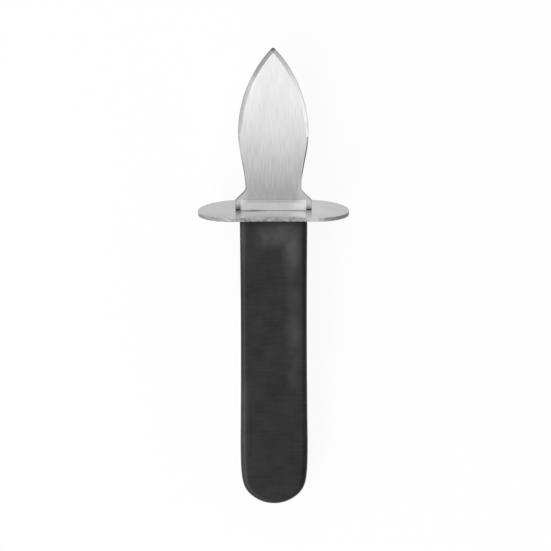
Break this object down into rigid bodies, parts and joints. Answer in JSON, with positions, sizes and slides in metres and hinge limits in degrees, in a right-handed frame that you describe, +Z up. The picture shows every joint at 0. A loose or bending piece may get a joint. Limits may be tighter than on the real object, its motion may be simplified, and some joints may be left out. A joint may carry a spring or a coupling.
{
  "type": "oyster knife",
  "caption": "Oyster knife with a pointed spear blade ground along its edges, a polished oval hand guard and a plain black handle with a round butt.",
  "frame": {"origin": "on the table plane, under the middle of the knife's bounding box, as the knife lies at rest on its guard's rim and its butt", "axes": "+Y along the knife towards the point, +Z up from the table, +X across the knife"},
  "size_m": [0.05, 0.1546, 0.0258],
  "materials": {
    "blade_steel": "brushed along the blade",
    "guard_steel": "polished",
    "handle_plastic": "satin black"
  },
  "bodies": {
    "root": {"blade": "blade_steel", "guard_plate": "guard_steel", "handle": "handle_plastic"}
  },
  "joints": []
}
